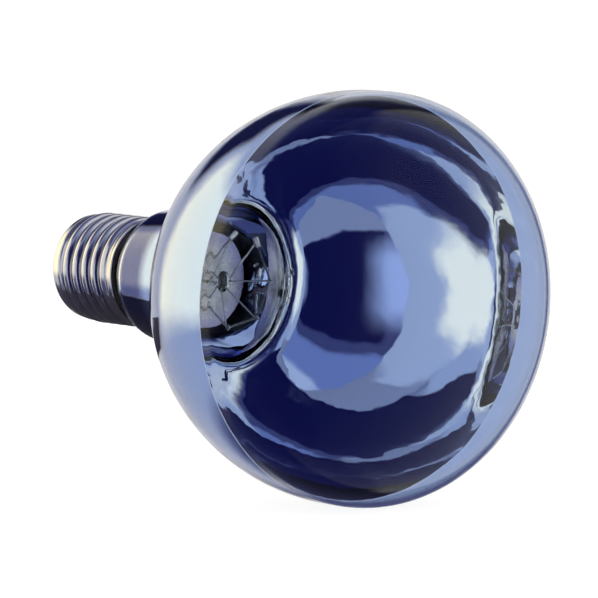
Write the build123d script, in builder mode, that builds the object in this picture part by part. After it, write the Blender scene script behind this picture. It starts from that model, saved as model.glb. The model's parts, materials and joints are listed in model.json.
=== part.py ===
from build123d import *

import os
from math import asin, atan, atan2, cos, degrees, radians, sin, tan

# A reflector flood lamp, built the way it is made: a blown bulb silvered inside behind its clear dome, a filament
# mount sealed into the neck, and a rolled screw cap cemented over the seal.
# The lamp's axis is x. The face of the end contact is at x = 0 and the dome is at the far end. Sizes are in mm.

# Glass bulb
BULB_DIAMETER = 95.0
GLASS_WALL = 0.8
DOME_HEIGHT = 24.2  # from the widest band to the front
DOME_RIM_RADIUS = 17.5  # bend from the widest band into the crown of the dome
BAND_LENGTH = 3.8  # straight band at the widest place
CLEAR_BAND = 2.8  # front part of the band, left clear by the mirror
BOWL_RADIUS = 52.0  # bend from the widest band into the flank
FLANK_ANGLE = 51.0  # slope of the straight flank, from the axis
FLARE_RADIUS = 10.0  # bend from the flank into the neck
NECK_FRONT_DIAMETER = 36.4
NECK_BACK_DIAMETER = 31.2
NECK_LENGTH = 23.8
SHOULDER_LENGTH = 6.2  # from the cap's rim to the back of the neck
SHOULDER_RADIUS = 6.0
SEAL_DIAMETER = 21.2  # neck end inside the cap
SEAL_DEPTH = 10.0  # how far the neck end reaches into the cap
SEAL_STRAIGHT = 7.5  # straight length of the neck end
FILM_THICKNESS = 0.2  # drawn far thicker than the real deposit, so that it is a solid

# Screw cap
CONE_HEIGHT = 2.65  # from the seat of the end contact to the edge of the rolled end
CAP_SHEET = 0.3
THREAD_DIAMETER = 26.3
THREAD_DEPTH = 1.1
THREAD_PITCH = 3.629
THREAD_TURNS = 4  # turns of full depth, between one fading turn at each end
LIP_RADIUS = 1.2  # outward roll of the rim
LIP_TURN = 60.0
END_BEND = 2.0  # inward roll of the end that grips the insulator
END_TURN = 60.0
END_EDGE = 1.0
CEMENT_CLEARANCE = 0.1

# End contact
CONTACT_DIAMETER = 10.0
CONTACT_THICKNESS = 0.5
CONTACT_HOLE = 2.0
SOLDER_DIAMETER = 6.4
SOLDER_LAND = 3.0  # flat worn on the crown of the solder
SOLDER_HEIGHT = 0.8
RIM_SOLDER_DIAMETER = 2.4

# Stem
STEM_TUBE_DIAMETER = 9.4
STEM_WALL = 0.9
STEM_FLARE_RADIUS = 4.0
STEM_HEIGHT = 16.2  # from the seal to the back of the press
PRESS_TAPER = 4.0
PRESS_LENGTH = 7.0
PRESS_WIDTH = 12.0
PRESS_THICKNESS = 4.4
EXHAUST_DIAMETER = 4.2
EXHAUST_WALL = 0.8
EXHAUST_TAIL = 8.0  # length left behind the seal
EXHAUST_HOLE = 1.6

# Wires
LEAD_SPACING = 6.4
LEAD_DIAMETER = 0.6
LEAD_RISE = 6.0  # straight run of an inner lead in front of the press
LEAD_BEND = 2.0
SHELL_LEAD_DIAMETER = 0.5
CRIMP_DIAMETER = 1.5
CRIMP_LENGTH = 2.4

# Filament mount
ROD_DIAMETER = 3.0
ROD_LENGTH = 7.4  # from the press to the middle of the button
BUTTON_DIAMETER = 5.0
BUTTON_LENGTH = 4.0
BUTTON_ROUND = 1.5
SHIELD_DIAMETER = 23.0
SHIELD_THICKNESS = 0.3
SHIELD_GAP = 1.2  # from the press to the shield
SHIELD_CLEARANCE = 0.3
SUPPORT_COUNT = 5
SUPPORT_DIAMETER = 0.4
SUPPORT_ROOT = 1.4  # where a support starts inside the button, from the axis
HOOK_CLEARANCE = 0.1
HOOK_TURN = 250.0
FILAMENT_CIRCLE = 21.6
FILAMENT_DIAMETER = 0.6
FILAMENT_LIFT = 6.0  # from the middle of the button to the filament
FILAMENT_BEND = 1.5
LEAD_GAP_ANGLE = 76.0  # middle of the open gap between the two lead ends, from y towards z

# Cap sheet: its middle surface swings by the throw to either side of this radius
throw = THREAD_DEPTH / 2
sheet_radius = THREAD_DIAMETER / 2 - throw - CAP_SHEET / 2
root_radius = sheet_radius - throw - CAP_SHEET / 2

# Bulb radii, and the flank between the corners that its two bends round off
bulb_radius = BULB_DIAMETER / 2
seal_radius = SEAL_DIAMETER / 2
flank_length = (bulb_radius - NECK_FRONT_DIAMETER / 2) / tan(radians(FLANK_ANGLE))
bowl_length = BOWL_RADIUS * tan(radians(FLANK_ANGLE / 2))

# Places along the axis, from the end contact to the dome
contact_seat = SOLDER_HEIGHT + CONTACT_THICKNESS
end_roll_length = END_BEND * sin(radians(END_TURN)) + END_EDGE * cos(radians(END_TURN))
thread_back = contact_seat + CONE_HEIGHT + end_roll_length
thread_front = thread_back + (THREAD_TURNS + 2) * THREAD_PITCH
cap_rim = thread_front + LIP_RADIUS * sin(radians(LIP_TURN))
seal_end = cap_rim - SEAL_DEPTH
neck_back = cap_rim + SHOULDER_LENGTH
neck_front = neck_back + NECK_LENGTH
bowl_corner = neck_front + flank_length
band_back = bowl_corner + bowl_length
dome_base = band_back + BAND_LENGTH
mirror_edge = dome_base - CLEAR_BAND
dome_front = dome_base + DOME_HEIGHT
press_back = seal_end + STEM_HEIGHT
press_top = press_back + PRESS_TAPER + PRESS_LENGTH
button_x = press_top + ROD_LENGTH
filament_x = button_x + FILAMENT_LIFT

# The ring of stations round the axis: the supports, with the two lead ends closing the gap between them
station_angle = 360 / (SUPPORT_COUNT + 2)
lead_angles = [LEAD_GAP_ANGLE + station_angle / 2, LEAD_GAP_ANGLE - station_angle / 2]
support_angles = [lead_angles[0] + station_angle * number for number in range(1, SUPPORT_COUNT + 1)]
filament_radius = FILAMENT_CIRCLE / 2
lead_y = LEAD_SPACING / 2

os.makedirs("parts", exist_ok=True)


def finish(piece, label):
    """Name a finished piece and write it to its own file."""
    piece.part.label = label
    export_step(piece.part, f"parts/{label}.step")


def around(radius, angle, x):
    """The point at this radius from the lamp's axis, at this angle from y towards z."""
    return Vector(x, radius * cos(radians(angle)), radius * sin(radians(angle)))


def bent_wire(points, bends, diameter):
    """A round wire of straight runs joined by bends, one bend radius for each inner point."""
    with BuildPart() as wire:
        with BuildLine() as route:
            FilletPolyline(*points, radius=bends)
        with BuildSketch(Plane(origin=route.line @ 0, z_dir=route.line % 0)):
            Circle(diameter / 2)
        sweep(path=route.line)
    return wire.part


# Glass bulb: one wall of even thickness, turned about the axis. The crown meets the axis square, which sets its radius.
rim_offset = bulb_radius - DOME_RIM_RADIUS
crown_radius = (DOME_HEIGHT**2 + rim_offset**2 - DOME_RIM_RADIUS**2) / (2 * (DOME_HEIGHT - DOME_RIM_RADIUS))
rim_turn = degrees(atan2(crown_radius - DOME_HEIGHT, rim_offset))
with BuildPart() as glass_bulb:
    with BuildSketch():
        with BuildLine():
            blown_side = FilletPolyline(
                (seal_end, seal_radius),
                (seal_end + SEAL_STRAIGHT, seal_radius),
                (neck_back, NECK_BACK_DIAMETER / 2),
                (neck_front, NECK_FRONT_DIAMETER / 2),
                (bowl_corner, bulb_radius),
                (dome_base, bulb_radius),
                radius=[SHOULDER_RADIUS, SHOULDER_RADIUS, FLARE_RADIUS, BOWL_RADIUS],
            )
            dome_rim = JernArc(blown_side @ 1, (1, 0), DOME_RIM_RADIUS, -rim_turn)
            RadiusArc(dome_rim @ 1, (dome_front, 0), crown_radius)
            offset(amount=GLASS_WALL, side=Side.RIGHT)
        make_face()
    revolve(axis=Axis.X)
finish(glass_bulb, "glass_bulb")

# Mirror coating: a film on the inside of the wall, from the back of the neck to the widest band's middle
with BuildPart() as mirror_coating:
    with BuildSketch():
        for depth, mode in ((GLASS_WALL + FILM_THICKNESS, Mode.ADD), (GLASS_WALL, Mode.SUBTRACT)):
            with BuildLine():
                add(blown_side)
                offset(amount=depth, side=Side.RIGHT)
            make_face(mode=mode)
        with Locations((neck_back, 0)):
            Rectangle(mirror_edge - neck_back, bulb_radius, align=Align.MIN, mode=Mode.INTERSECT)
    revolve(axis=Axis.X)
finish(mirror_coating, "mirror_coating")

# Exhaust tube: drawn to a rounded tip inside the cap, open into the press
exhaust_tip = seal_end - EXHAUST_TAIL
exhaust_radius = EXHAUST_DIAMETER / 2
with BuildPart() as exhaust_tube:
    with BuildSketch():
        with BuildLine():
            tip = JernArc((exhaust_tip, 0), (0, 1), exhaust_radius, -90)
            Line(tip @ 1, (press_back, exhaust_radius))
            offset(amount=EXHAUST_WALL, side=Side.RIGHT)
        make_face()
    revolve(axis=Axis.X)
finish(exhaust_tube, "exhaust_tube")

# Seal wires: straight through the press, one each side of the axis
seal_wires = []
for number, side in ((1, -1), (2, 1)):
    with BuildPart() as seal_wire:
        with BuildSketch(Plane.YZ.offset(press_back)):
            with Locations((side * lead_y, 0)):
                Circle(LEAD_DIAMETER / 2)
        extrude(amount=press_top - press_back)
    finish(seal_wire, f"seal_wire_{number}")
    seal_wires.append(seal_wire.part)

# Stem: a tube that flares out to the seal and is pinched flat round the seal wires
seal_bore = seal_radius - GLASS_WALL
stem_radius = (STEM_TUBE_DIAMETER - STEM_WALL) / 2
with BuildPart() as stem:
    with BuildSketch():
        with BuildLine():
            FilletPolyline(
                (seal_end + STEM_WALL / 2, seal_bore),
                (seal_end + STEM_WALL / 2, stem_radius),
                (press_back, stem_radius),
                radius=[STEM_FLARE_RADIUS],
            )
        trace(line_width=STEM_WALL)
    revolve(axis=Axis.X)
    with BuildSketch(Plane.YZ.offset(press_back)):
        Circle(STEM_TUBE_DIAMETER / 2)
    with BuildSketch(Plane.YZ.offset(press_back + PRESS_TAPER)) as press_section:
        SlotOverall(PRESS_WIDTH, PRESS_THICKNESS)
    loft()
    extrude(press_section.sketch, amount=PRESS_LENGTH)
    with BuildSketch(Plane.YZ.offset(press_back)):
        Circle(exhaust_radius - EXHAUST_WALL)
    extrude(amount=PRESS_TAPER / 2, mode=Mode.SUBTRACT)
    with BuildSketch(Plane.XY):
        with Locations((press_back + PRESS_TAPER / 2, 0)):
            Circle(EXHAUST_HOLE / 2)
    extrude(amount=STEM_TUBE_DIAMETER, mode=Mode.SUBTRACT)
    add(seal_wires, mode=Mode.SUBTRACT)
finish(stem, "stem")

# Support wires: straight from the button to a hook round the filament, all drawn in the plane of their own angle
hook_radius = (FILAMENT_DIAMETER + SUPPORT_DIAMETER) / 2 + HOOK_CLEARANCE
half_station = radians(station_angle / 2)
hook_centre = Vector(filament_x, filament_radius - FILAMENT_BEND * (1 / cos(half_station) - 1))
reach = hook_centre - Vector(button_x, SUPPORT_ROOT)
support_slope = atan2(reach.Y, reach.X) + asin(hook_radius / reach.length)
support_length = (reach.length**2 - hook_radius**2) ** 0.5
support_wires = []
for number, angle in enumerate(support_angles, start=1):
    with BuildPart() as support_wire:
        with BuildLine(Plane.XY.rotated((angle, 0, 0))) as hook_line:
            shank = PolarLine((button_x, SUPPORT_ROOT), support_length, degrees(support_slope))
            JernArc(shank @ 1, shank % 1, hook_radius, -HOOK_TURN)
        with BuildSketch(Plane(origin=hook_line.line @ 0, z_dir=hook_line.line % 0)):
            Circle(SUPPORT_DIAMETER / 2)
        sweep(path=hook_line.line)
    finish(support_wire, f"support_wire_{number}")
    support_wires.append(support_wire.part)

# Support rod: drawn from the press, with the button melted round the roots of the supports
with BuildPart() as support_rod:
    with BuildSketch(Plane.YZ.offset(button_x - BUTTON_LENGTH / 2)):
        Circle(BUTTON_DIAMETER / 2)
    extrude(amount=BUTTON_LENGTH)
    fillet(support_rod.edges().filter_by(GeomType.CIRCLE), BUTTON_ROUND)
    with BuildSketch(Plane.YZ.offset(press_top)):
        Circle(ROD_DIAMETER / 2)
    extrude(amount=ROD_LENGTH)
    add(support_wires, mode=Mode.SUBTRACT)
finish(support_rod, "support_rod")

# Filament: straight spans of coiled wire, bent at each hook and held at both ends in the crimps of the leads
stations = [lead_angles[0]] + support_angles + [lead_angles[1] + 360]
filament_points = [around(filament_radius, angle, filament_x) for angle in stations]
with BuildPart() as filament:
    add(bent_wire(filament_points, [FILAMENT_BEND] * SUPPORT_COUNT, FILAMENT_DIAMETER))
finish(filament, "filament")

# Inner leads: out of the press, through the shield and across to the two ends of the filament
for number, (end, inward) in enumerate(((0, 1), (-1, -2)), start=1):
    side = -1 if number == 1 else 1
    crimp_axis = (filament_points[inward] - filament_points[end]).normalized()
    crimp_back = filament_points[end] - crimp_axis * (CRIMP_LENGTH / 2)
    lead_points = [(press_top, side * lead_y, 0), (press_top + LEAD_RISE, side * lead_y, 0), crimp_back]
    with BuildPart() as inner_lead:
        add(bent_wire(lead_points, [LEAD_BEND], LEAD_DIAMETER))
        with BuildSketch(Plane(origin=crimp_back, z_dir=crimp_axis)):
            Circle(CRIMP_DIAMETER / 2)
        extrude(amount=CRIMP_LENGTH / 2, both=True)
        add(filament.part, mode=Mode.SUBTRACT)
    finish(inner_lead, f"inner_lead_{number}")

# Heat shield: a disc threaded on the rod, with clear holes for the leads
with BuildPart() as heat_shield:
    with BuildSketch(Plane.YZ.offset(press_top + SHIELD_GAP)):
        Circle(SHIELD_DIAMETER / 2)
        Circle(ROD_DIAMETER / 2, mode=Mode.SUBTRACT)
        with Locations((-lead_y, 0), (lead_y, 0)):
            Circle(LEAD_DIAMETER / 2 + SHIELD_CLEARANCE, mode=Mode.SUBTRACT)
    extrude(amount=SHIELD_THICKNESS)
finish(heat_shield, "heat_shield")

# Contact lead: back out of the stem, past the tip of the exhaust tube and along the axis to the end contact
contact_route = [
    (press_back, -lead_y, 0),
    (exhaust_tip, -lead_y, 0),
    (exhaust_tip - lead_y, 0, 0),
    (SOLDER_HEIGHT / 2, 0, 0),
]
with BuildPart() as contact_lead:
    add(bent_wire(contact_route, [LEAD_BEND, LEAD_BEND], LEAD_DIAMETER))
finish(contact_lead, "contact_lead")

# Shell lead: back out of the stem, round the neck end and forward between neck and cap to the rim
gap_radius = (seal_radius + root_radius) / 2
rim_radius = sheet_radius + LIP_RADIUS * (1 - cos(radians(LIP_TURN)))
shell_route = [
    (press_back, lead_y, 0),
    (seal_end - 2 * LEAD_BEND, lead_y, 0),
    (seal_end - 2 * LEAD_BEND, gap_radius, 0),
    (thread_front - LIP_RADIUS, gap_radius, 0),
    (cap_rim, rim_radius, 0),
]
with BuildPart() as shell_lead:
    add(bent_wire(shell_route, [LEAD_BEND, LEAD_BEND, LEAD_BEND], SHELL_LEAD_DIAMETER))
finish(shell_lead, "shell_lead")

# Screw shell: a rolled sheet. Its round section is carried, without turning, along a slender helix that opens from
# the axis and closes on it again, which rolls a single-start round thread that fades out at both ends.
fade_slope = atan(throw / THREAD_PITCH)
fade_pitch = THREAD_PITCH / cos(fade_slope)
run_out = thread_front - THREAD_PITCH
with BuildPart() as screw_shell:
    with BuildLine() as roll_line:
        Helix(fade_pitch, THREAD_PITCH, 0, (thread_back, 0, 0), (1, 0, 0), degrees(fade_slope))
        Helix(
            THREAD_PITCH, THREAD_TURNS * THREAD_PITCH, throw, (thread_back + THREAD_PITCH, 0, 0), (1, 0, 0)
        )
        Helix(fade_pitch, THREAD_PITCH, throw, (run_out, 0, 0), (1, 0, 0), -degrees(fade_slope))
    with BuildSketch(Plane.YZ.offset(thread_back)):
        Circle(sheet_radius + CAP_SHEET / 2)
        Circle(sheet_radius - CAP_SHEET / 2, mode=Mode.SUBTRACT)
    sweep(path=roll_line.line, normal=(1, 0, 0))
    with BuildSketch():
        with BuildLine():
            JernArc((thread_front, sheet_radius), (1, 0), LIP_RADIUS, LIP_TURN)
        trace(line_width=CAP_SHEET)
        with BuildLine():
            end_roll = JernArc((thread_back, sheet_radius), (-1, 0), END_BEND, END_TURN)
            PolarLine(end_roll @ 1, END_EDGE, direction=end_roll % 1)
        trace(line_width=CAP_SHEET)
    revolve(axis=Axis.X)
    add(shell_lead.part, mode=Mode.SUBTRACT)
finish(screw_shell, "screw_shell")

# Cap insulator: black glass poured into the rolled end, a blunt cone outside with a hole for the contact lead
with BuildPart() as cap_insulator:
    with BuildSketch():
        with BuildLine():
            seat = JernArc(
                (thread_back, sheet_radius - CAP_SHEET / 2), (-1, 0), END_BEND - CAP_SHEET / 2, END_TURN
            )
            edge = PolarLine(seat @ 1, END_EDGE, direction=seat % 1)
            Polyline(
                edge @ 1,
                (contact_seat, CONTACT_DIAMETER / 2),
                (contact_seat, CONTACT_HOLE / 2),
                (thread_back, CONTACT_HOLE / 2),
                seat @ 0,
            )
        make_face()
    revolve(axis=Axis.X)
finish(cap_insulator, "cap_insulator")

# Contact plate: a brass disc on the insulator, with its outer edge rounded
with BuildPart() as contact_plate:
    with BuildSketch(Plane.YZ.offset(SOLDER_HEIGHT)):
        Circle(CONTACT_DIAMETER / 2)
        Circle(CONTACT_HOLE / 2, mode=Mode.SUBTRACT)
    extrude(amount=CONTACT_THICKNESS)
    outer_edge = contact_plate.edges().filter_by(GeomType.CIRCLE).group_by(Axis.X)[0].sort_by(SortBy.RADIUS)[-1]
    fillet(outer_edge, CONTACT_THICKNESS / 2)
finish(contact_plate, "contact_plate")

# Contact solder: a button over the plate's hole, with a flat land worn on it, run onto the end of the lead
with BuildPart() as contact_solder:
    with BuildSketch():
        with BuildLine():
            crown = Line((0, 0), (0, SOLDER_LAND / 2))
            TangentArc(crown @ 1, (SOLDER_HEIGHT, SOLDER_DIAMETER / 2), tangent=(0, 1))
            Polyline((SOLDER_HEIGHT, SOLDER_DIAMETER / 2), (SOLDER_HEIGHT, 0), (0, 0))
        make_face()
        with Locations((SOLDER_HEIGHT, 0)):
            Rectangle(CONTACT_THICKNESS, CONTACT_HOLE / 2, align=(Align.MIN, Align.MIN))
    revolve(axis=Axis.X)
    add(contact_lead.part, mode=Mode.SUBTRACT)
finish(contact_solder, "contact_solder")

# Rim solder: a drop on the lip, run round the end of the shell lead
with BuildPart() as rim_solder:
    with Locations((cap_rim, rim_radius, 0)):
        Sphere(RIM_SOLDER_DIAMETER / 2)
    add([screw_shell.part, shell_lead.part, glass_bulb.part], mode=Mode.SUBTRACT)
finish(rim_solder, "rim_solder")

# Cap cement: a ring between the neck's end and the roots of the thread, up to where the shoulder closes the gap,
# poured round the shell lead
with BuildPart() as cap_cement:
    with BuildSketch():
        with Locations((seal_end, 0)):
            Rectangle(SEAL_DEPTH, root_radius - CEMENT_CLEARANCE, align=Align.MIN)
        with BuildLine():
            add(blown_side)
            Polyline(blown_side @ 1, (dome_base, 0), (seal_end, 0), blown_side @ 0)
        make_face(mode=Mode.SUBTRACT)
    revolve(axis=Axis.X)
    add(shell_lead.part, mode=Mode.SUBTRACT)
finish(cap_cement, "cap_cement")
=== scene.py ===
# %% [markdown]
# A reflector flood lamp, dressed for its picture.
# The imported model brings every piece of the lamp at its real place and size, in metres. The lamp's axis
# is x: the end contact is at x = 0 and the domed front is at the far end. Nothing here moves or resizes
# those pieces. Some of them are drawn again as finer surfaces, because a mirror and a glass wall show
# every facet, and all of them get a finish.

# %% Load the frame
import json
import math

import bpy
import numpy as np
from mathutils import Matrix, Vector


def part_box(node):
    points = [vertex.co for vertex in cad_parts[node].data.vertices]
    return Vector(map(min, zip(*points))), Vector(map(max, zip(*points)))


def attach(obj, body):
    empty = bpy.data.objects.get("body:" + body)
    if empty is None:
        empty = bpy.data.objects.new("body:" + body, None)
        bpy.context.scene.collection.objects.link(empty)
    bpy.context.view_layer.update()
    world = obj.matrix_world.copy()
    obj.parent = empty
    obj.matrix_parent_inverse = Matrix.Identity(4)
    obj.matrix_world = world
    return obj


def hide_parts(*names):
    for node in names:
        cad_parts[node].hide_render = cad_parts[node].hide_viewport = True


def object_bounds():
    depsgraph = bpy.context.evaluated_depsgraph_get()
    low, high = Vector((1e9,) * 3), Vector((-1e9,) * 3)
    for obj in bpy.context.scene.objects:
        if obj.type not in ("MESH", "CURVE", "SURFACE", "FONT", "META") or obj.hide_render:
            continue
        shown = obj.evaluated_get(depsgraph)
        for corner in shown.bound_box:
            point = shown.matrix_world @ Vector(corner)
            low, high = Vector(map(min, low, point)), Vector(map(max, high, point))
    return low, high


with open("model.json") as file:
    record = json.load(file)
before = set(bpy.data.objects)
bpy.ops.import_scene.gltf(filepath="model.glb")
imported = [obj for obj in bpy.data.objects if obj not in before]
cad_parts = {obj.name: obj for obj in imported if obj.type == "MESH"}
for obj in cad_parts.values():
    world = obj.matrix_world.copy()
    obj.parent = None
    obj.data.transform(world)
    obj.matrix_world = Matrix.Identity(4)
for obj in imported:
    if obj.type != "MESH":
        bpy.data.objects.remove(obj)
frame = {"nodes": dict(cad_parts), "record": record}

cad_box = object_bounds()
nodes = frame["nodes"]
MM = 0.001
TAU = 2 * math.pi
print("nodes", len(nodes), "box", [tuple(round(c, 4) for c in corner) for corner in cad_box])

# %% [markdown]
# Every new piece is a grid of points worked out as one array. A turned piece is a profile carried round
# the axis. The profile runs with the material on its left, so that all faces look outwards. Where it
# starts or ends on the axis, one point there closes it with a fan of triangles, and a profile that never
# meets the axis closes on itself, like a ring.

# %% Rows of points
NO_TRIANGLES = np.empty((0, 3), int)


def strip(first, second):
    """Quads between two rows of point numbers that both close on themselves."""
    return np.stack([first, second, np.roll(second, -1, 1), np.roll(first, -1, 1)], axis=-1).reshape(-1, 4)


def fan(pole, ring, leading):
    """Triangles from one point to a closed row of points. A leading fan starts a profile, another ends it."""
    following = np.roll(ring, -1)
    centre = np.full(len(ring), pole)
    return np.column_stack([centre, ring, following] if leading else [centre, following, ring])


def even_angles(around):
    """This many angles, evenly spread over one turn."""
    return np.arange(around) * TAU / around


print("angles of a ring of four", np.degrees(even_angles(4)).round(1))

# %% Turned surfaces
ON_AXIS = 1e-9


def turned(profile, around, lift=0):
    """Points and faces of rows of (x, r) turned about x: each row becomes the points
    (x, (r + lift) cos a, (r + lift) sin a) for even angles a."""
    profile = np.asarray(profile, float)
    on_axis = profile[:, 1] < ON_AXIS
    rings = profile[~on_axis]
    angles = even_angles(around)
    x = np.repeat(rings[:, :1], around, axis=1)
    radius = rings[:, 1:] + lift
    points = np.stack([x, radius * np.cos(angles), radius * np.sin(angles)], axis=-1).reshape(-1, 3)
    number = np.arange(len(points)).reshape(len(rings), around)
    quads = [strip(number[:-1], number[1:])]
    fans = [NO_TRIANGLES]
    if on_axis[0]:
        fans.append(fan(len(points), number[0], True))
        points = np.vstack([points, [profile[0, 0], 0, 0]])
    if on_axis[-1]:
        fans.append(fan(len(points), number[-1], False))
        points = np.vstack([points, [profile[-1, 0], 0, 0]])
    if not on_axis.any():
        quads.append(strip(number[-1:], number[:1]))
    return points, np.vstack(quads), np.vstack(fans)


cone_points, _, cone_fans = turned([(1, 0), (0, 1), (0, 0)], 6)
print("a cone of six sides has", len(cone_points), "points and", len(cone_fans), "triangles")

# %% [markdown]
# A mesh could be built face by face with from_pydata. Writing whole arrays with foreach_set does the same
# and stays quick with a hundred thousand faces. Shading is smooth, and only edges that bend sharply stay
# crisp.

# %% Meshes
CREASE = 40


def write_mesh(name, points, quads, triangles=NO_TRIANGLES, crease=CREASE):
    """An object at the origin with these points and faces, crisp where faces bend by more than the crease."""
    mesh = bpy.data.meshes.new(name)
    corners = np.concatenate([quads.ravel(), triangles.ravel()]).astype(np.int32)
    starts = np.concatenate([np.arange(len(quads)) * 4, len(quads) * 4 + np.arange(len(triangles)) * 3])
    mesh.vertices.add(len(points))
    mesh.vertices.foreach_set("co", np.asarray(points, np.float32).ravel())
    mesh.loops.add(len(corners))
    mesh.loops.foreach_set("vertex_index", corners)
    mesh.polygons.add(len(starts))
    mesh.polygons.foreach_set("loop_start", starts.astype(np.int32))
    mesh.update(calc_edges=True)
    mesh.shade_smooth()
    mesh.set_sharp_from_angle(angle=math.radians(crease))
    piece = bpy.data.objects.new(name, mesh)
    bpy.context.scene.collection.objects.link(piece)
    return piece


def dress(piece, slot, material, *replaced):
    """Give a piece its finish, let it ride on the lamp, and let it stand for the plain solids it replaces."""
    piece.data.materials.append(material)
    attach(piece, "root")
    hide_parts(*replaced)
    print(piece.name, "vertices", len(piece.data.vertices), "faces", len(piece.data.polygons))


print("edges stay crisp beyond", CREASE, "degrees")

# %% [markdown]
# A finish is a Principled shader. What is the same all over a piece is set on the shader's own sockets.
# What changes over the surface comes from small node groups that finishes share, made where they are
# first needed. They all read Object coordinates, so a pattern stays in place on its piece.

# %% Nodes and groups
BLACK = (0.0, 0.0, 0.0, 1.0)
WHITE = (1.0, 1.0, 1.0, 1.0)


def node(tree, kind, settings=None, **inputs):
    """A new shader node. Each input is a value, or another node's output to link to. A name such as _6 is the
    number of a socket."""
    made = tree.nodes.new("ShaderNode" + kind)
    for name, value in (settings or {}).items():
        setattr(made, name, value)
    for name, value in inputs.items():
        socket = made.inputs[int(name[1:])] if name.startswith("_") else made.inputs[name.replace("_", " ")]
        if isinstance(value, bpy.types.NodeSocket):
            tree.links.new(value, socket)
        else:
            socket.default_value = value
    return made


def effect(name, inputs, outputs):
    """An empty node group with these named sockets. A colour's default has four numbers."""
    tree = bpy.data.node_groups.new(name, "ShaderNodeTree")
    for socket, default in inputs.items():
        kind = "NodeSocketColor" if isinstance(default, tuple) else "NodeSocketFloat"
        tree.interface.new_socket(socket, in_out="INPUT", socket_type=kind).default_value = default
    for socket, kind in outputs.items():
        tree.interface.new_socket(socket, in_out="OUTPUT", socket_type=kind)
    return tree, tree.nodes.new("NodeGroupInput").outputs, tree.nodes.new("NodeGroupOutput").inputs


def use(material, group, **inputs):
    """This group placed in a material with its own values. Returns its outputs."""
    placed = node(material.node_tree, "Group", {"node_tree": group})
    for name, value in inputs.items():
        placed.inputs[name].default_value = value
    return placed.outputs


print("groups so far", len(bpy.data.node_groups))

# %% Colours and values
def opaque(color):
    """A colour of three numbers with full cover as its fourth."""
    return (*color, 1.0)


def blend(tree, share, first, second):
    """The colour that lies this share of the way from the first colour to the second."""
    return node(tree, "Mix", {"data_type": "RGBA"}, _0=share, _6=first, _7=second).outputs[2]


def scaled(tree, value, low, high, start=0.0, end=1.0):
    """A value carried from the range start to end onto the range low to high."""
    carried = node(tree, "MapRange", Value=value, From_Min=start, From_Max=end, To_Min=low, To_Max=high)
    return carried.outputs[0]


print("white is", WHITE, "and so is", opaque((1.0, 1.0, 1.0)))

# %% Finishes
SHADER = "Principled BSDF"


def finish(name, color, **sockets):
    """A principled material with these values on its shader's own sockets."""
    material = bpy.data.materials.new(name)
    material.use_nodes = True
    shader = material.node_tree.nodes[SHADER]
    shader.inputs["Base Color"].default_value = opaque(color)
    for socket, value in sockets.items():
        shader.inputs[socket.replace("_", " ")].default_value = value
    return material


def feed(material, socket, value):
    """Link a varying value to a socket of the material's shader."""
    material.node_tree.links.new(value, material.node_tree.nodes[SHADER].inputs[socket])


def raise_by(material, height, distance):
    """Let a height from 0 to 1 lift the shaded surface by this distance."""
    bump = node(material.node_tree, "Bump", Height=height, Distance=distance, Strength=1.0)
    feed(material, "Normal", bump.outputs[0])


print("materials before dressing", len(bpy.data.materials))

# %% [markdown]
# The bulb's outline is straight runs joined by tangent arcs, as it comes from its blow mould: a straight
# seal, a shoulder, a tapered neck, a flare, a steep flank, a round bowl, the widest band, and a dome made
# of a tight rim and a wide crown. An arc tangent to two runs starts at the distance R tan(turn / 2) from
# their corner. The shape of bowl and flank matters more than anything else here, because the mirror on it
# draws the whole picture inside.

# %% Arcs and rounded runs
def arc(centre, radius, start, end, steps):
    """Points on a circle from one angle to another, in degrees, as rows of (x, radius)."""
    angles = np.radians(np.linspace(start, end, steps))
    return np.column_stack([centre[0] + radius * np.cos(angles), centre[1] + radius * np.sin(angles)])


def rounded_runs(corners, radii, steps):
    """A line through corners, each inner one replaced by an arc of its radius, tangent to both runs."""
    corners = np.asarray(corners, float)
    rows = [corners[:1]]
    for before, corner, after, radius in zip(corners[:-2], corners[1:-1], corners[2:], radii):
        back = (before - corner) / np.linalg.norm(before - corner)
        ahead = (after - corner) / np.linalg.norm(after - corner)
        half = math.acos(back @ ahead) / 2
        centre = corner + (back + ahead) / np.linalg.norm(back + ahead) * radius / math.sin(half)
        first = corner + back * radius / math.tan(half) - centre
        last = corner + ahead * radius / math.tan(half) - centre
        start = math.degrees(math.atan2(first[1], first[0]))
        sweep = math.degrees(math.atan2(first[0] * last[1] - first[1] * last[0], first @ last))
        rows.append(arc(centre, radius, start, start + sweep, steps))
    rows.append(corners[-1:])
    return np.vstack(rows)


print("a square corner rounded by 1:", rounded_runs([(0, 0), (2, 0), (2, 2)], [1], 3).round(2).tolist())

# %% Even rows and parallel lines
def even_rows(profile, spacing):
    """The same line with points at an even spacing along it."""
    along = np.concatenate([[0], np.cumsum(np.linalg.norm(np.diff(profile, axis=0), axis=1))])
    wanted = np.linspace(0, along[-1], round(along[-1] / spacing) + 1)
    return np.column_stack([np.interp(wanted, along, profile[:, 0]), np.interp(wanted, along, profile[:, 1])])


def sunk(profile, depth):
    """The parallel line this far to the right of the profile: each point moves along the normal there."""
    along = np.gradient(profile, axis=0)
    along /= np.linalg.norm(along, axis=1, keepdims=True)
    return profile + depth * np.column_stack([along[:, 1], -along[:, 0]])


print("a straight line sunk by 1:", sunk(np.array([(0.0, 0.0), (1.0, 0.0), (2.0, 0.0)]), 1).tolist())

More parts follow.
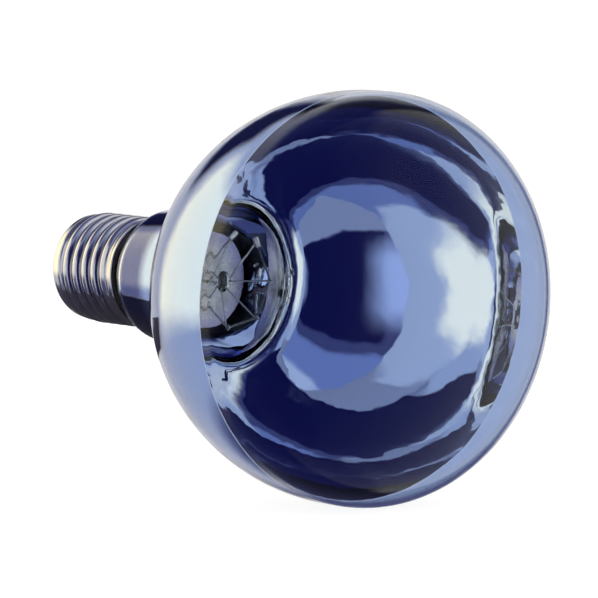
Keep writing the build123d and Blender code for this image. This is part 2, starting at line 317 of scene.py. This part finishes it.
# %% Bulb sizes
bulb_low, bulb_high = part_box("glass_bulb")
film_low, film_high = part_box("mirror_coating")
WALL = 0.8 * MM
DOME_RIM = 17.5 * MM
BAND = 3.8 * MM
CLEAR_BAND = 2.8 * MM
BOWL = 52.0 * MM
FLANK = math.radians(51)
FLARE = 10.0 * MM
NECK_FRONT = 18.2 * MM
NECK_BACK = 15.6 * MM
NECK = 23.8 * MM
SHOULDER = 6.0 * MM
SEAL = 10.6 * MM
SEAL_RUN = 7.5 * MM

front = bulb_high.x
widest = bulb_high.z
mirror_edge = film_high.x
dome_base = mirror_edge + CLEAR_BAND
bowl_corner = dome_base - BAND - BOWL * math.tan(FLANK / 2)
neck_front = bowl_corner - (widest - NECK_FRONT) / math.tan(FLANK)
print("mirror edge", round(mirror_edge / MM, 2), "front of the neck", round(neck_front / MM, 2))

# %% Bulb outline
ARC_STEPS = 160
BULB_ROW = 0.8 * MM
blown = rounded_runs(
    [
        (bulb_low.x, SEAL),
        (bulb_low.x + SEAL_RUN, SEAL),
        (neck_front - NECK, NECK_BACK),
        (neck_front, NECK_FRONT),
        (bowl_corner, widest),
        (dome_base, widest),
    ],
    [SHOULDER, SHOULDER, FLARE, BOWL],
    ARC_STEPS,
)
dome_height = front - dome_base
rim_offset = widest - DOME_RIM
crown = (dome_height**2 + rim_offset**2 - DOME_RIM**2) / (2 * (dome_height - DOME_RIM))
rim_stop = math.degrees(math.atan2(rim_offset, crown - dome_height))
rim_rows = arc((dome_base, rim_offset), DOME_RIM, 90, rim_stop, ARC_STEPS)
crown_rows = arc((front - crown, 0), crown, rim_stop, 0, ARC_STEPS)
outer = even_rows(np.vstack([blown, rim_rows[1:], crown_rows[1:]]), BULB_ROW)
outer[-1] = (front, 0)
inner = sunk(outer, WALL)
inner[-1] = (front - WALL, 0)
print("outline rows", len(outer), "crown radius", round(crown / MM, 2))

# %% [markdown]
# The bulb is one blown wall of blue glass. It could be a Solidify modifier on a turned line, but a
# profile that runs back along the outside and forward along the inside gives both faces at once, closed
# at the seal. The glass colours light each time light crosses the wall, so the base colour is the tint of
# one crossing. Light that crosses at a slant has a longer way in the wall, so a Layer Weight node makes
# the tint deeper and greyer there. Specular Tint is black, which turns the head-on reflection off and
# keeps the one at a slant: the first would only lay a faint, noisy veil over the dark parts of the mirror
# behind it. A slow ripple, far too small to show in the outline, makes what is left waver a little, as it
# does in blown glass.

# %% Blown ripple
blown_ripple, given, out = effect("blown ripple", {"Scale": 140.0}, {"Height": "NodeSocketFloat"})
place = node(blown_ripple, "TexCoord").outputs["Object"]
wave = node(blown_ripple, "TexNoise", Vector=place, Scale=given["Scale"], Detail=2.0, Roughness=0.4)
blown_ripple.links.new(wave.outputs[0], out["Height"])
print("groups", [group.name for group in bpy.data.node_groups])

# %% Glass bulb
AROUND = 224
RIPPLE = 0.03 * MM
GLASS_TINT = (0.55, 0.655, 0.867)
SLANT_TINT = (0.47, 0.54, 0.70)
SLANT_START = 0.45
SLANT_END = 0.9
tinted = finish(
    "tinted glass", GLASS_TINT, Roughness=0.0, Transmission_Weight=1.0, IOR=1.5, Specular_Tint=BLACK
)
glass_tree = tinted.node_tree
facing = node(glass_tree, "LayerWeight").outputs["Facing"]
slant = scaled(glass_tree, facing, 0, 1, SLANT_START, SLANT_END)
feed(tinted, "Base Color", blend(glass_tree, slant, opaque(GLASS_TINT), opaque(SLANT_TINT)))
raise_by(tinted, use(tinted, blown_ripple)["Height"], RIPPLE)
bulb = write_mesh("bulb_glass", *turned(np.vstack([outer[::-1], inner]), AROUND))
dress(bulb, "tinted_glass", tinted, "glass_bulb")

# %% [markdown]
# Aluminium vapour was deposited on the inside of the wall, from the neck to the middle of the widest
# band. It is a mirror from both sides: through the glass it gives the back of the lamp its bright skin,
# and from the front it shows the studio. It could be a second material on the inner faces of the glass,
# but a thin ring of its own, a hair inside the wall, has two clean sides and an edge. Towards the end next
# to the cap the film is coloured dark blue, as painted shade that darkens what the neck reflects. It
# follows the wall's ripple more strongly than the outside does, and that is what makes the edges of the
# reflections waver.

# %% Clouding
NOISE_RANGE = (0.3, 0.7)  # a noise seldom leaves it
clouding, given, out = effect(
    "clouding",
    {"Scale": 300.0, "Dark": BLACK, "Light": WHITE},
    {"Color": "NodeSocketColor", "Amount": "NodeSocketFloat"},
)
place = node(clouding, "TexCoord").outputs["Object"]
cloud = node(clouding, "TexNoise", Vector=place, Scale=given["Scale"], Detail=4.0, Roughness=0.6)
amount = scaled(clouding, cloud.outputs[0], 0, 1, *NOISE_RANGE)
clouding.links.new(amount, out["Amount"])
clouding.links.new(blend(clouding, amount, given["Dark"], given["Light"]), out["Color"])
print("groups", [group.name for group in bpy.data.node_groups])

# %% Place along the axis
along_axis, given, out = effect("along axis", {"Start": 0.0, "End": 0.01}, {"Mask": "NodeSocketFloat"})
place = node(along_axis, "TexCoord").outputs["Object"]
length = node(along_axis, "SeparateXYZ", Vector=place).outputs["X"]
along_axis.links.new(scaled(along_axis, length, 0, 1, given["Start"], given["End"]), out["Mask"])
print("groups", [group.name for group in bpy.data.node_groups])

# %% Mirror film
FILM_GAP = 0.03 * MM
FILM = 0.2 * MM
FILM_RIPPLE = 3 * RIPPLE
FILM_TONE = (0.93, 0.935, 0.94)
NECK_SHADE_TONE = (0.07, 0.085, 0.29)
NECK_SHADE_START = 43.5 * MM
NECK_SHADE_END = 47.0 * MM
FILM_GLOSS = (0.012, 0.03)
silvered = (outer[:, 0] >= film_low.x) & (outer[:, 0] <= mirror_edge)
film_out = sunk(outer, WALL + FILM_GAP)[silvered]
film_in = sunk(outer, WALL + FILM)[silvered]
aluminium = finish("mirror film", FILM_TONE, Metallic=1.0)
film_tree = aluminium.node_tree
bloom = use(aluminium, clouding, Scale=120.0)["Amount"]
feed(aluminium, "Roughness", scaled(film_tree, bloom, *FILM_GLOSS))
# Painted shade: on the neck, up to the start, the film is coloured dark blue instead of the bright mirror
# tone.
clear_of_neck_shade = use(aluminium, along_axis, Start=NECK_SHADE_START, End=NECK_SHADE_END)["Mask"]
feed(aluminium, "Base Color", blend(film_tree, clear_of_neck_shade, opaque(NECK_SHADE_TONE), opaque(FILM_TONE)))
raise_by(aluminium, use(aluminium, blown_ripple)["Height"], FILM_RIPPLE)
film = write_mesh("bulb_mirror", *turned(np.vstack([film_out[::-1], film_in]), AROUND))
dress(film, "mirror_film", aluminium, "mirror_coating")

# %% [markdown]
# The cap is thin plated sheet, rolled between two shaped wheels so that one round thread runs six times
# round it and fades into the plain sheet at both ends. In section the thread is two equal arcs, a crest
# and a root, that meet on a steep flank. A Screw modifier would give a constant thread, while a height
# worked out for every place and angle can also fade. The height is zero on the lip and on the rolled end,
# so one closed profile carries the whole cap.

# %% Rolled thread
SHEET = 0.3 * MM
CREST = 13.15 * MM
DEPTH = 1.1 * MM
PITCH = 3.629 * MM
TURNS = 6
LIP = 1.2 * MM
END_BEND = 2.0 * MM
END_EDGE = 1.0 * MM
ROLL = 60
shell_low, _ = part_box("screw_shell")
roll_turn = math.radians(ROLL)
sheet_radius = CREST - DEPTH / 2 - SHEET / 2
bend_reach = (END_BEND + SHEET / 2) * math.sin(roll_turn)
thread_back = shell_low.x + bend_reach + END_EDGE * math.cos(roll_turn)
thread_front = thread_back + TURNS * PITCH


def rolled(x, angle, side):
    """Height of the thread at a place and angle: an arc of radius r about the crest and one about the root,
    tangent where they meet, times a share that fades over the first and last turn. The side is 1 outside and
    -1 inside, where the sheet's own thickness makes one arc wider and the other narrower."""
    flank = 2 * math.atan(2 * DEPTH / PITCH)
    radius = PITCH / 4 / math.sin(flank)
    turn = (x - thread_back) / PITCH
    from_crest = np.abs((angle / TAU - turn + 0.25) % 1 - 0.5) * PITCH
    crest = radius + side * SHEET / 2
    root = radius - side * SHEET / 2
    over = np.sqrt(np.maximum(crest**2 - from_crest**2, 0)) - radius * math.cos(flank)
    under = radius * math.cos(flank) - np.sqrt(np.maximum(root**2 - (PITCH / 2 - from_crest) ** 2, 0))
    height = np.where(from_crest < crest * math.sin(flank), over, under) - side * SHEET / 2
    return height * np.clip(np.minimum(turn, TURNS - turn), 0, 1)


print("thread from", round(thread_back / MM, 2), "to", round(thread_front / MM, 2), "mm")

# %% [markdown]
# The cap's nickel is darkened in the thread roots: painted shade, a dark colour laid where the ridges
# shade each other. The distance from the axis tells the roots from the crests. Rolling also leaves fine
# lines round the cap, which make the polish uneven: a noise that is drawn out round the axis gives those.

# %% Axis distance and turning lines
axis_distance, given, out = effect(
    "axis distance", {"Inner": 0.0, "Outer": 0.01}, {"Mask": "NodeSocketFloat"}
)
place = node(axis_distance, "TexCoord").outputs["Object"]
across = node(axis_distance, "VectorMath", {"operation": "MULTIPLY"}, _0=place, _1=(0.0, 1.0, 1.0))
distance = node(axis_distance, "VectorMath", {"operation": "LENGTH"}, _0=across.outputs[0]).outputs["Value"]
axis_distance.links.new(scaled(axis_distance, distance, 0, 1, given["Inner"], given["Outer"]), out["Mask"])

turning_lines, given, out = effect("turning lines", {"Density": 4000.0}, {"Height": "NodeSocketFloat"})
place = node(turning_lines, "TexCoord").outputs["Object"]
drawn_out = node(turning_lines, "Mapping", Vector=place, Scale=(1.0, 0.02, 0.02)).outputs[0]
lines = node(turning_lines, "TexNoise", Vector=drawn_out, Scale=given["Density"], Detail=3.0, Roughness=0.7)
turning_lines.links.new(lines.outputs[0], out["Height"])
print("groups", [group.name for group in bpy.data.node_groups])

# %% Nickel plate
PLATE_DARK = (0.46, 0.47, 0.50)
PLATE_LIGHT = (0.62, 0.64, 0.68)
PLATE_GLOSS = (0.14, 0.22)
ROOT_SHADE = (0.10, 0.08, 0.09)
ROOT_SHADE_STOP = 12.0 * MM
CREST_TONE_START = 12.4 * MM
LINE_DEPTH = 0.004 * MM


def clouds(material, dark, light, scale):
    """Clouding placed in a material, drifting between two colours."""
    return use(material, clouding, Scale=scale, Dark=opaque(dark), Light=opaque(light))


nickel = finish("nickel plate", PLATE_LIGHT, Metallic=1.0)
cap_tree = nickel.node_tree
tone = clouds(nickel, PLATE_DARK, PLATE_LIGHT, 160.0)["Color"]
# Painted shade: nearer the axis, in the thread roots, the plate's tone goes over to a dark colour.
clear_of_root_shade = use(nickel, axis_distance, Inner=ROOT_SHADE_STOP, Outer=CREST_TONE_START)["Mask"]
feed(nickel, "Base Color", blend(cap_tree, clear_of_root_shade, opaque(ROOT_SHADE), tone))
marks = use(nickel, turning_lines, Density=6000.0)["Height"]
feed(nickel, "Roughness", scaled(cap_tree, marks, *PLATE_GLOSS, *NOISE_RANGE))
raise_by(nickel, marks, LINE_DEPTH)
print("nodes in the nickel", len(cap_tree.nodes))

# %% Screw shell
CAP_AROUND = 192
OUTSIDE_ROW = 0.1 * MM
INSIDE_ROW = 0.3 * MM
END_STEPS = 30
LIP_STEPS = 20
edge_way = np.array([-math.cos(roll_turn), -math.sin(roll_turn)])
end_arc = arc((thread_back, sheet_radius - END_BEND), END_BEND, 90 + ROLL, 90, END_STEPS)
lip_arc = arc((thread_front, sheet_radius + LIP), LIP, -90, ROLL - 90, LIP_STEPS)
middle = np.vstack([end_arc[0] + END_EDGE * edge_way, end_arc, lip_arc])
outside = sunk(even_rows(middle, OUTSIDE_ROW), -SHEET / 2)[::-1]
inside = sunk(even_rows(middle, INSIDE_ROW), SHEET / 2)
cap_angles = even_angles(CAP_AROUND)
lift = np.vstack([rolled(outside[:, :1], cap_angles, 1), rolled(inside[:, :1], cap_angles, -1)])
shell = write_mesh("cap_shell", *turned(np.vstack([outside, inside]), CAP_AROUND, lift))
dress(shell, "plated_cap", nickel, "screw_shell")

# %% [markdown]
# The filament is tungsten wire wound into a coil that is hung in straight spans from hook to hook. A
# curve with a bevel could follow it, but a coil is easier as a formula: a circle carried along a line
# that itself circles round the spans. Each turn has only a few dozen faces, because there are hundreds of
# turns.

# %% Coil
def coil(path, x, coil_radius, wire_radius, turns, steps, sides):
    """A wire wound round a path in the plane at x: centre = path + R (n cos t + f sin t), with n the path's
    normal and f forward along the axis, and a circle of points round that centre, square to the wire."""
    path = even_rows(path, np.linalg.norm(np.diff(path, axis=0), axis=1).sum() / (turns * steps))
    along = np.gradient(path, axis=0)
    pace = np.linalg.norm(along, axis=1, keepdims=True)
    along = np.column_stack([np.zeros(len(path)), along / pace])
    normal = np.column_stack([np.zeros(len(path)), -along[:, 2], along[:, 1]])
    forward = np.array([1.0, 0.0, 0.0])
    turn = (np.arange(len(path)) * TAU / steps)[:, None]
    outwards = np.cos(turn) * normal + np.sin(turn) * forward
    wire_way = along * pace * steps / TAU + coil_radius * (np.cos(turn) * forward - np.sin(turn) * normal)
    wire_way /= np.linalg.norm(wire_way, axis=1, keepdims=True)
    sideways = np.cross(wire_way, outwards)
    centre = np.column_stack([np.full(len(path), x), path]) + coil_radius * outwards
    angles = -even_angles(sides)[None, :, None]
    ring = np.cos(angles) * outwards[:, None] + np.sin(angles) * sideways[:, None]
    points = (centre[:, None] + wire_radius * ring).reshape(-1, 3)
    number = np.arange(len(points)).reshape(-1, sides)
    ends = np.vstack([fan(len(points), number[0], True), fan(len(points) + 1, number[-1], False)])
    return np.vstack([points, centre[:1], centre[-1:]]), strip(number[:-1], number[1:]), ends


print("points of a coil of one turn", len(coil(np.array([(0.0, 0.0), (1.0, 0.0)]), 0, 1, 0.1, 1, 8, 5)[0]))

# %% Filament coil
FILAMENT_CIRCLE = 10.8 * MM
FILAMENT_BEND = 1.5 * MM
BEND_STEPS = 20
LEAD_GAP = 76.0
STATIONS = 7
WIRE = 0.05 * MM
WIRE_SIDES = 5
COIL_TURNS = 330
TURN_STEPS = 10
COIL_CREASE = 80
filament_low, filament_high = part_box("filament")
filament_x = (filament_low.x + filament_high.x) / 2
filament_radius = (filament_high.x - filament_low.x) / 2
station_angles = np.radians(LEAD_GAP + 360 / STATIONS * (0.5 + np.arange(STATIONS)))
stations = FILAMENT_CIRCLE * np.column_stack([np.cos(station_angles), np.sin(station_angles)])
spans = rounded_runs(stations, [FILAMENT_BEND] * (STATIONS - 2), BEND_STEPS)


def clouded(name, dark, light, scale, **sockets):
    """A finish whose tone drifts between two colours, and the clouding it drifts by."""
    material = finish(name, light, **sockets)
    cloud = clouds(material, dark, light, scale)
    feed(material, "Base Color", cloud["Color"])
    return material, cloud


tungsten, _ = clouded("tungsten", (0.24, 0.24, 0.25), (0.42, 0.42, 0.43), 900.0, Metallic=1.0, Roughness=0.3)
wound = coil(spans, filament_x, filament_radius - WIRE, WIRE, COIL_TURNS, TURN_STEPS, WIRE_SIDES)
filament = write_mesh("filament_coil", *wound, crease=COIL_CREASE)
dress(filament, "tungsten", tungsten, "filament")

# %% [markdown]
# A glass rod stands on the stem and ends in a button, melted round the roots of the filament's supports.
# In the solid it is a cylinder with rounded ends. Melted glass has no flat at all, so the button is drawn
# as a round drop here: x = front + (cos t - 1) L / 2 and r = R sin(t) to the power 0.8, until it is as
# narrow as the rod. The lamp-worked glass is clear and ripples more closely than the blown wall.

# %% Support rod
ROD = 1.5 * MM
ROD_AROUND = 64
BUTTON = 2.5 * MM
BUTTON_LENGTH = 4.0 * MM
DROP_STOP = 143
DROP_STEPS = 40
FULLNESS = 0.8
CLEAR_RIPPLE = 0.1 * MM
rod_low, rod_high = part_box("support_rod")
drop_turn = np.radians(np.linspace(0, DROP_STOP, DROP_STEPS))
drop_x = rod_high.x + (np.cos(drop_turn) - 1) * BUTTON_LENGTH / 2
drop = np.column_stack([drop_x, BUTTON * np.sin(drop_turn) ** FULLNESS])
rod_rows = np.vstack([drop, [(drop[-1, 0] - ROD, ROD), (rod_low.x, ROD), (rod_low.x, 0)]])
clear = finish("clear glass", (0.96, 0.97, 0.965), Roughness=0.0, Transmission_Weight=1.0, IOR=1.52)
raise_by(clear, use(clear, blown_ripple, Scale=600.0)["Height"], CLEAR_RIPPLE)
rod = write_mesh("mount_rod", *turned(rod_rows, ROD_AROUND))
dress(rod, "clear_glass", clear, "support_rod")

# %% [markdown]
# The other pieces keep the meshes that came with the model. The insulator is poured black glass, the
# contact is brass with a soldered crown, and the cement is a baked, gritty powder. The disc behind the
# filament gets hot, so its edge has the blue of tempered metal. Wires are drawn metal, clouded a little
# and not polished.

# %% Finishes of the cap's end
SOLDER_SKIN = 0.05 * MM
CEMENT_GRIT = 0.1 * MM
black, gloss = clouded("black glass", (0.008, 0.008, 0.010), (0.020, 0.020, 0.024), 200.0, Coat_Weight=0.5)
feed(black, "Roughness", scaled(black.node_tree, gloss["Amount"], 0.08, 0.20))
brass, wear = clouded("contact brass", (0.60, 0.42, 0.18), (0.82, 0.64, 0.33), 350.0, Metallic=1.0)
feed(brass, "Roughness", scaled(brass.node_tree, wear["Amount"], 0.38, 0.22))
solder, skin = clouded("solder", (0.42, 0.42, 0.41), (0.66, 0.66, 0.65), 700.0, Metallic=1.0, Roughness=0.36)
raise_by(solder, skin["Amount"], SOLDER_SKIN)
cement, grit = clouded("cement", (0.48, 0.42, 0.34), (0.70, 0.64, 0.53), 1500.0, Roughness=0.9)
raise_by(cement, grit["Amount"], CEMENT_GRIT)
print("materials", len(bpy.data.materials))

# %% Finish of the disc
DISC_DARK = (0.62, 0.62, 0.62)
DISC_LIGHT = (0.78, 0.78, 0.78)
TEMPERED = (0.50, 0.47, 0.68)
TEMPER_START = 6.0 * MM
TEMPER_END = 11.0 * MM
disc = finish("shield disc", DISC_LIGHT, Metallic=1.0)
haze = clouds(disc, DISC_DARK, DISC_LIGHT, 250.0)
feed(disc, "Roughness", scaled(disc.node_tree, haze["Amount"], 0.18, 0.32))
heated = use(disc, axis_distance, Inner=TEMPER_START, Outer=TEMPER_END)["Mask"]
feed(disc, "Base Color", blend(disc.node_tree, heated, haze["Color"], opaque(TEMPERED)))
print("nodes in the disc's finish", len(disc.node_tree.nodes))

# %% Wires and the handing out
WIRES = {
    "seal_wire": ((0.45, 0.14, 0.08), (0.60, 0.24, 0.15), 900.0, 0.35),
    "copper_wire": ((0.66, 0.33, 0.20), (0.84, 0.49, 0.34), 700.0, 0.30),
    "nickel_wire": ((0.52, 0.50, 0.47), (0.68, 0.66, 0.63), 800.0, 0.25),
    "support_wire": ((0.40, 0.40, 0.41), (0.58, 0.58, 0.59), 800.0, 0.28),
}
finishes = {
    "black_glass": black, "contact_brass": brass, "solder": solder, "cement": cement, "clear_glass": clear,
    "shield_metal": disc,
}
for slot, (dark, light, scale, roughness) in WIRES.items():
    finishes[slot], _ = clouded(slot.replace("_", " "), dark, light, scale, Metallic=1.0, Roughness=roughness)
for subpart in frame["record"]["subparts"]:
    if subpart["material_slot"] in finishes:
        mesh = nodes[subpart["node"]].data
        mesh.materials.clear()
        mesh.materials.append(finishes[subpart["material_slot"]])
print("finishes", len(finishes))

# %% [markdown]
# The camera looks at the lamp from its front, 39 degrees off the axis and a little from above, through a
# long lens. It is placed from the circle at the mirror's edge, which is easy to find in the picture: the
# direction to the camera gives the tilt of that circle, the distance gives its size, and the aim puts its
# centre on the right pixel.

# %% Camera
PICTURE = 598
AZIMUTH = math.radians(51.36)
ELEVATION = math.radians(5.53)
DISTANCE = 1.5655
FOCAL_PIXELS = 6887
EDGE_CENTRE_PIXEL = (364.83, 298.72)
SENSOR = 36
CLIP_END = 100
level = math.cos(ELEVATION)
back = Vector((math.sin(AZIMUTH) * level, -math.cos(AZIMUTH) * level, math.sin(ELEVATION)))
right = Vector((math.cos(AZIMUTH), math.sin(AZIMUTH), 0))
up = back.cross(right)
edge_centre = Vector((mirror_edge, 0, 0))
eye = edge_centre + DISTANCE * back
aside = (EDGE_CENTRE_PIXEL[0] - PICTURE / 2) / FOCAL_PIXELS * DISTANCE
above = (PICTURE / 2 - EDGE_CENTRE_PIXEL[1]) / FOCAL_PIXELS * DISTANCE
aim = edge_centre - aside * right - above * up
camera_data = bpy.data.cameras.new("camera")
camera_data.sensor_width = SENSOR
camera_data.lens = SENSOR * FOCAL_PIXELS / PICTURE
camera_data.clip_end = CLIP_END
camera = bpy.data.objects.new("camera", camera_data)
bpy.context.scene.collection.objects.link(camera)
camera.location = eye
camera.rotation_euler = (aim - eye).to_track_quat("-Z", "Y").to_euler()
bpy.context.scene.camera = camera
print("lens", round(camera_data.lens, 1), "eye", tuple(round(c, 3) for c in eye))

# %% [markdown]
# A mirror shows the room, so the room has to be designed. Lamps and cards round the set would do, but
# panels in the world are easier to place. Each panel is a soft-edged patch of the sky around the lamp,
# given by its middle and half its size in degrees: round the upright axis from the lamp's front, and up
# from level. Later panels cover earlier ones. The camera sees plain white beyond the floor. The backdrop
# panel is a slightly dimmer white, so that the lamp's edge stays visible against it.

# %% Studio panel
def reckon(tree, operation, *values):
    """The result of a maths node for these values or outputs."""
    inputs = {f"_{place}": value for place, value in enumerate(values)}
    return node(tree, "Math", {"operation": operation}, **inputs).outputs[0]


studio_panel, given, out = effect(
    "studio panel",
    {
        "Round": 0.0, "Up": 0.0, "Middle Round": 0.0, "Half Width": 20.0,
        "Middle Up": 0.0, "Half Height": 20.0, "Softness": 10.0,
    },
    {"Mask": "NodeSocketFloat"},
)


def soft_edge(distance, half):
    """1 inside half a panel's size, 0 outside it, with a smooth step as wide as the softness between."""
    outer_edge = reckon(studio_panel, "MULTIPLY_ADD", given["Softness"], 0.5, given[half])
    inner_edge = reckon(studio_panel, "MULTIPLY_ADD", given["Softness"], -0.5, given[half])
    smooth = {"interpolation_type": "SMOOTHSTEP"}
    step = node(studio_panel, "MapRange", smooth, Value=distance, From_Min=outer_edge, From_Max=inner_edge)
    return step.outputs[0]


turn_off = reckon(studio_panel, "SUBTRACT", given["Round"], given["Middle Round"])
sideways = reckon(studio_panel, "ABSOLUTE", reckon(studio_panel, "WRAP", turn_off, 180.0, -180.0))
climb = reckon(studio_panel, "SUBTRACT", given["Up"], given["Middle Up"])
upwards = reckon(studio_panel, "ABSOLUTE", climb)
mask = reckon(studio_panel, "MULTIPLY", soft_edge(sideways, "Half Width"), soft_edge(upwards, "Half Height"))
studio_panel.links.new(mask, out["Mask"])
print("nodes in a panel", len(studio_panel.nodes))

# %% World
ROOM = (0.10, 0.10, 0.21)
PANELS = {
    "table": (0, 92, -72, 38, 3, (0.50, 0.48, 0.53)),
    "ceiling": (-10, 80, 80, 40, 4, (0.33, 0.37, 0.58)),
    "right wall": (-50, 52, 0, 62, 8, (0.92, 0.89, 0.88)),
    "backdrop": (-141, 26, 12, 30, 10, (0.85, 0.82, 0.80)),
    "front softbox": (-16, 20, 6, 24, 16, (2.5, 2.0, 1.2)),
    "front table": (8, 12, -18, 14, 10, (0.75, 0.75, 0.80)),
    "camera side": (37, 23, -1, 33, 3, (0.012, 0.012, 0.075)),
    "side window": (66, 12, -3, 22, 20, (0.85, 0.86, 1.0)),
    "side fill": (111, 26, 18, 28, 10, (1.15, 1.13, 1.15)),
    "left wall": (175, 34, 8, 42, 12, (0.75, 0.73, 0.76)),
    "left softbox": (160, 22, 12, 21, 10, (2.2, 1.85, 1.15)),
    "left stand": (-159, 11, 22, 10, 6, (0.02, 0.02, 0.07)),
}
world = bpy.data.worlds.new("studio")
world.use_nodes = True
studio = world.node_tree
direction = node(studio, "SeparateXYZ", Vector=node(studio, "TexCoord").outputs["Generated"]).outputs
towards_eye = reckon(studio, "MULTIPLY", direction["Y"], -1.0)
bearing = reckon(studio, "DEGREES", reckon(studio, "ARCTAN2", towards_eye, direction["X"]))
slope = reckon(studio, "DEGREES", reckon(studio, "ARCSINE", direction["Z"]))
color = opaque(ROOM)
for name, (middle_round, half_width, middle_up, half_height, softness, panel_color) in PANELS.items():
    panel = node(
        studio, "Group", {"node_tree": studio_panel, "label": name}, Round=bearing, Up=slope,
        Middle_Round=middle_round, Half_Width=half_width, Middle_Up=middle_up, Half_Height=half_height,
        Softness=softness,
    )
    color = blend(studio, panel.outputs["Mask"], color, opaque(panel_color))
seen = node(studio, "LightPath").outputs["Is Camera Ray"]
studio.links.new(blend(studio, seen, color, WHITE), studio.nodes["Background"].inputs["Color"])
bpy.context.scene.world = world
bpy.context.scene.view_settings.view_transform = "Standard"
print("panels", len(PANELS))

# %% [markdown]
# The floor is a plain white sheet at the height of the widest band. For the camera it glows almost white
# by itself, and the little light it scatters on top of that is what the lamp's shadow takes away. Mirror
# and glass look past it to the panels, as if the lamp lay on a clear pane.

# %% Floor
FLOOR_HALF = 8.0
PAPER = (0.35, 0.35, 0.35)
GLOW = (0.9, 0.9, 0.9)


def level_sheet(name, middle, half, height):
    """A level rectangle with its middle and half its size given, at one height."""
    corners = np.array([(-1, -1), (1, -1), (1, 1), (-1, 1)]) * half + middle
    return write_mesh(name, np.column_stack([corners, np.full(4, height)]), np.arange(4)[None])


floor_z = cad_box[0][2]
floor = level_sheet("floor", (0, 0), (FLOOR_HALF, FLOOR_HALF), floor_z)
paper = finish("floor paper", PAPER, Roughness=1.0, Specular_IOR_Level=0.0, Emission_Strength=1.0)
seen = node(paper.node_tree, "LightPath").outputs["Is Camera Ray"]
feed(paper, "Emission Color", blend(paper.node_tree, seen, BLACK, opaque(GLOW)))
floor.data.materials.append(paper)
floor.visible_glossy = False
floor.visible_transmission = False
print("floor at", round(floor_z, 4))

# %% [markdown]
# A photographer lays a dark card under a shiny cap, so that its underside stays dark and looks round. The
# panels can't do this, because they are far away and the bulb sees the same ones. The card is near, so it
# is mostly the cap and the neck that see it. It is hidden from the camera and casts no shadow.

# %% Dark card
CARD_MIDDLE = (0 * MM, -12 * MM)
CARD_HALF = (40 * MM, 19 * MM)
CARD_Z = -20 * MM
CARD_GREY = (0.15, 0.14, 0.18)
card = level_sheet("dark card", CARD_MIDDLE, CARD_HALF, CARD_Z)
card.data.materials.append(finish("card grey", CARD_GREY, Roughness=1.0, Specular_IOR_Level=0.0))
card.visible_camera = False
card.visible_diffuse = False
card.visible_shadow = False
print("card", [round(2 * half, 3) for half in CARD_HALF])
